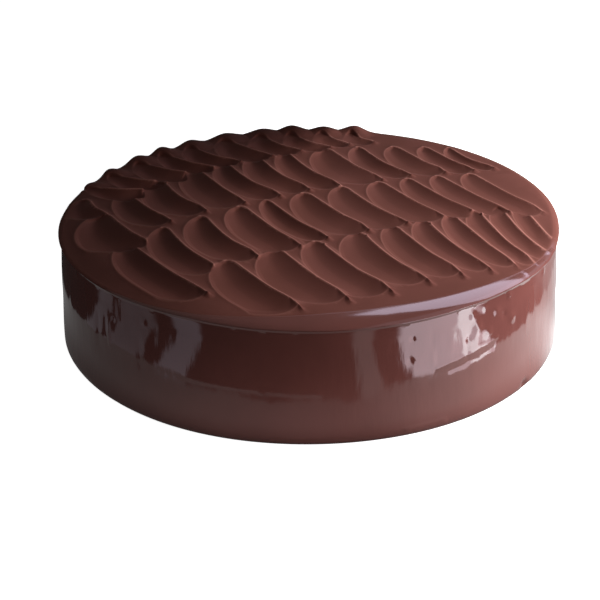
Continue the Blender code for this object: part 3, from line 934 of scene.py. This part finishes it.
def ganache():
    """Dark, slightly red chocolate: satin where the spatula worked it, glossy from the rim down, and lighter
    along the crests and thin edges of the strokes as a painted highlight.
    """
    nodes = Nodes("ganache_coat")
    place = nodes.add("ShaderNodeTexCoord").outputs["Object"]
    side = nodes.add("ShaderNodeAttribute", attribute_name="gloss").outputs["Fac"]
    cloud = nodes.noise(place, *CLOUD_NOISE)
    grain = nodes.noise(place, *GRAIN_NOISE)
    lightness = nodes.ramp(cloud, *CLOUD_OF_BROWNS)
    shade = nodes.mix(lightness, (*TOP_BROWNS[0], 1.0), (*TOP_BROWNS[1], 1.0))
    coat = nodes.mix(lightness, (*SIDE_BROWNS[0], 1.0), (*SIDE_BROWNS[1], 1.0))
    # Painted highlight: the crests and thin edges of the strokes are lightened towards a pale brown
    edge_highlight = nodes.add("ShaderNodeAttribute", attribute_name="edge_highlight").outputs["Fac"]
    colour = nodes.mix(edge_highlight, nodes.mix(side, shade, coat), (*HIGHLIGHT_BROWN, 1.0))
    satin = nodes.ramp(cloud, *CLOUD_OF_ROUGHNESS, *TOP_ROUGHNESS)
    glossy = nodes.ramp(cloud, *CLOUD_OF_ROUGHNESS, *SIDE_ROUGHNESS)
    roughness = nodes.add("ShaderNodeMix", {0: side, 2: satin, 3: glossy}).outputs[0]
    matte = nodes.maths("SUBTRACT", 1.0, side)
    streaks = nodes.add("ShaderNodeMapping", {"Vector": place, "Scale": RIPPLE_SCALE}).outputs["Vector"]
    ripple = nodes.noise(streaks, *RIPPLE_NOISE)
    parts = nodes.add("ShaderNodeSeparateXYZ", {0: place})
    below = nodes.ramp(parts.outputs["Z"], *RIPPLE_ENDS, 1.0, 0.0)
    ripple = nodes.maths("MULTIPLY", nodes.maths("MULTIPLY", ripple, below), RIPPLE_HEIGHT)
    grain = nodes.maths("MULTIPLY", nodes.maths("MULTIPLY", grain, matte), GRAIN_HEIGHT)
    height = nodes.maths("ADD", ripple, grain)
    bump = nodes.add("ShaderNodeBump", {"Strength": 1.0, "Distance": 1.0, "Height": height})
    specular = nodes.ramp(side, 0.0, 1.0, *SPECULAR_LEVEL)
    nodes.set(nodes.shader, {"Base Color": colour, "Roughness": roughness, "Normal": bump.outputs["Normal"]})
    nodes.set(nodes.shader, {"Specular IOR Level": specular})
    return nodes.material


def link(data, name):
    made = bpy.data.objects.new(name, data)
    bpy.context.scene.collection.objects.link(made)
    return made


def add_cake():
    cake = link(cake_mesh(), "cake")
    thin_out(cake)
    mark_surface(cake.data)
    cake.data.materials.clear()
    cake.data.materials.append(ganache())
    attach(cake, "root")
    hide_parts("chocolate_cake")


def add_floor():
    """A pale floor with a little light of its own, which keeps the shadow soft."""
    half = FLOOR_SIZE / 2
    data = bpy.data.meshes.new("floor")
    corners = [(-half, -half, 0), (half, -half, 0), (half, half, 0), (-half, half, 0)]
    data.from_pydata(corners, [], [(0, 1, 2, 3)])
    floor = link(data, "floor")
    nodes = Nodes("floor_white")
    colour = (*FLOOR_COLOUR, 1.0)
    nodes.set(nodes.shader, {"Base Color": colour, "Roughness": FLOOR_ROUGHNESS})
    nodes.set(nodes.shader, {"Specular IOR Level": FLOOR_SPECULAR})
    nodes.set(nodes.shader, {"Emission Color": colour, "Emission Strength": FLOOR_GLOW})
    data.materials.append(nodes.material)
    floor.visible_glossy = False
    floor.visible_diffuse = False


def radians(degrees):
    return [math.radians(end) for end in degrees]


def round_places(nodes):
    """A place's angle from the front to the right and its distance from the middle."""
    place = nodes.add("ShaderNodeTexCoord").outputs["Object"]
    parts = nodes.add("ShaderNodeSeparateXYZ", {0: place})
    forward = nodes.maths("MULTIPLY", parts.outputs["Y"], -1.0)
    angle = nodes.maths("ARCTAN2", parts.outputs["X"], forward)
    radius = nodes.add("ShaderNodeVectorMath", {0: place}, operation="LENGTH").outputs["Value"]
    return angle, radius


def fields_light(nodes, angle, base, fields):
    """The light of a ring over the angle: an even base and brighter fields with soft ends."""
    light = (base, base, base, 1.0)
    for start, end, strength, colour, soft in fields:
        rising = nodes.ramp(angle, *radians((start - soft, start + soft)))
        falling = nodes.ramp(angle, *radians((end - soft, end + soft)), 1.0, 0.0)
        share = nodes.maths("MULTIPLY", rising, falling)
        light = nodes.mix(share, light, (*(strength * part for part in colour), 1.0))
    return light


def torn_fields(nodes, angle, radius):
    """The card's far light, with tears through its fields at the left."""
    turned = nodes.maths("MULTIPLY", angle, TEARS_ROUND)
    outwards = nodes.maths("MULTIPLY", radius, TEARS_OUTWARDS)
    streaks = nodes.add("ShaderNodeCombineXYZ", {"X": turned, "Y": outwards}).outputs["Vector"]
    torn = nodes.ramp(nodes.noise(streaks, *TEAR_NOISE), *TEAR_EDGE)
    at_left = nodes.ramp(angle, *radians(TEAR_TURN), 1.0, 0.0)
    light = fields_light(nodes, angle, CARD_FAR_LIGHT, FAR_FIELDS)
    dark = (CARD_FAR_LIGHT, CARD_FAR_LIGHT, CARD_FAR_LIGHT, 1.0)
    return nodes.mix(nodes.maths("MULTIPLY", torn, at_left), light, dark)


def past_border(nodes, angle, radius, kept):
    """0 on the card's near part and 1 on its far part."""
    right = nodes.ramp(angle, *radians(BORDER_RIGHT_TURN), 0.0, BORDER_RIGHT - CARD_BORDER)
    left = nodes.ramp(angle, *radians(BORDER_LEFT_TURN), BORDER_LEFT - CARD_BORDER, 0.0)
    moved = nodes.maths("MULTIPLY", nodes.maths("ADD", right, left), kept)
    beyond = nodes.maths("SUBTRACT", radius, nodes.maths("ADD", moved, CARD_BORDER))
    return nodes.ramp(beyond, -CARD_SOFT, CARD_SOFT)


def card_strength(nodes, angle, radius, kept):
    """How strong the card's light is: 1 where it isn't dimmed."""
    dim = nodes.ramp(radius, CARD_INNER, CARD_DIM_TO, CARD_DIMMED, 1.0)
    undimmed = nodes.ramp(angle, *radians(CARD_UNDIMMED_TURN))
    dim = nodes.maths("MAXIMUM", dim, nodes.maths("MULTIPLY", undimmed, kept))
    left = nodes.ramp(angle, *radians(CARD_LEFT_TURN), CARD_LEFT_DIMMED, 1.0)
    left = nodes.maths("MULTIPLY", nodes.maths("SUBTRACT", left, 1.0), kept)
    return nodes.maths("MULTIPLY", dim, nodes.maths("ADD", left, 1.0))


def lit(nodes, light, strength):
    """The material of a ring that gives this light and reflects none."""
    nodes.set(nodes.shader, {"Base Color": BLACK, "Specular IOR Level": 0.0})
    nodes.set(nodes.shader, {"Emission Color": light, "Emission Strength": strength})
    return nodes.material


def card_material():
    nodes = Nodes("card_light")
    angle, radius = round_places(nodes)
    kept = nodes.ramp(nodes.maths("ABSOLUTE", angle), *radians(CARD_BACK_TURN), 1.0, 0.0)
    near = fields_light(nodes, angle, CARD_NEAR_LIGHT, NEAR_FIELDS)
    far = torn_fields(nodes, angle, radius)
    light = nodes.mix(past_border(nodes, angle, radius, kept), near, far)
    return lit(nodes, light, card_strength(nodes, angle, radius, kept))


def glow_material():
    nodes = Nodes("floor_glow")
    angle, _ = round_places(nodes)
    return lit(nodes, fields_light(nodes, angle, GLOW_LIGHT, GLOW_FIELDS), 1.0)


def add_ring(name, radii, material):
    """A flat ring round the foot, just over the floor, which the camera doesn't see and which casts no
    shadow."""
    points = []
    for radius in radii:
        for step in range(RING_SIDES):
            turn = 2 * math.pi * step / RING_SIDES
            points.append((radius * math.cos(turn), radius * math.sin(turn), RING_HEIGHT))
    faces = []
    for step in range(RING_SIDES):
        beyond = (step + 1) % RING_SIDES
        faces.append((step, RING_SIDES + step, RING_SIDES + beyond, beyond))
    data = bpy.data.meshes.new(name)
    data.from_pydata(points, [], faces)
    data.materials.append(material)
    ring = link(data, name)
    ring.visible_camera = False
    ring.visible_shadow = False
    return ring


def add_rings():
    add_ring("card", (CARD_INNER, CARD_OUTER), card_material()).visible_diffuse = False
    add_ring("glow", (GLOW_INNER, GLOW_OUTER), glow_material()).visible_glossy = False


def add_flag():
    corners = [(FLAG_PLACE, place, height) for place, height in FLAG_LOWER]
    corners += [(FLAG_PLACE, place, FLAG_UPPER) for place, _ in FLAG_LOWER[::-1]]
    data = bpy.data.meshes.new("flag")
    data.from_pydata(corners, [], [tuple(range(len(corners)))])
    flag = link(data, "flag")
    nodes = Nodes("flag_black")
    nodes.set(nodes.shader, {"Base Color": BLACK, "Specular IOR Level": 0.0})
    data.materials.append(nodes.material)
    flag.visible_camera = False
    flag.visible_glossy = False


def add_light(name, place, target, sides, colour, power, dull, gloss):
    light = bpy.data.lights.new(name, "AREA")
    light.shape = "RECTANGLE"
    light.size, light.size_y = sides
    light.color = colour
    light.energy = power
    lamp = link(light, name)
    lamp.location = place
    lamp.rotation_euler = (Vector(target) - Vector(place)).to_track_quat("-Z", "Y").to_euler()
    lamp.visible_camera = False
    lamp.visible_diffuse = dull
    lamp.visible_glossy = gloss


def add_world():
    world = bpy.data.worlds.new("studio")
    world.use_nodes = True
    background = world.node_tree.nodes["Background"]
    background.inputs["Color"].default_value = (*WORLD_COLOUR, 1.0)
    background.inputs["Strength"].default_value = WORLD_STRENGTH
    bpy.context.scene.world = world


def add_camera():
    data = bpy.data.cameras.new("camera")
    data.lens = CAMERA_LENS
    data.sensor_width = CAMERA_SENSOR
    camera = link(data, "camera")
    out = -math.cos(CAMERA_HEIGHT) * CAMERA_DISTANCE
    place = Vector((0.0, out, math.sin(CAMERA_HEIGHT) * CAMERA_DISTANCE))
    forward = (CAMERA_TARGET - place).normalized()
    level = forward.cross(Vector((0, 0, 1))).normalized()
    upright = level.cross(forward)
    right = math.cos(CAMERA_ROLL) * level + math.sin(CAMERA_ROLL) * upright
    up = math.cos(CAMERA_ROLL) * upright - math.sin(CAMERA_ROLL) * level
    camera.matrix_world = Matrix.Translation(place) @ Matrix((right, up, -forward)).transposed().to_4x4()
    bpy.context.scene.camera = camera


add_cake()
add_floor()
add_rings()
add_flag()
for name, settings in LIGHTS.items():
    add_light(name, **settings)
add_world()
add_camera()
bpy.context.scene.view_settings.view_transform = "Standard"
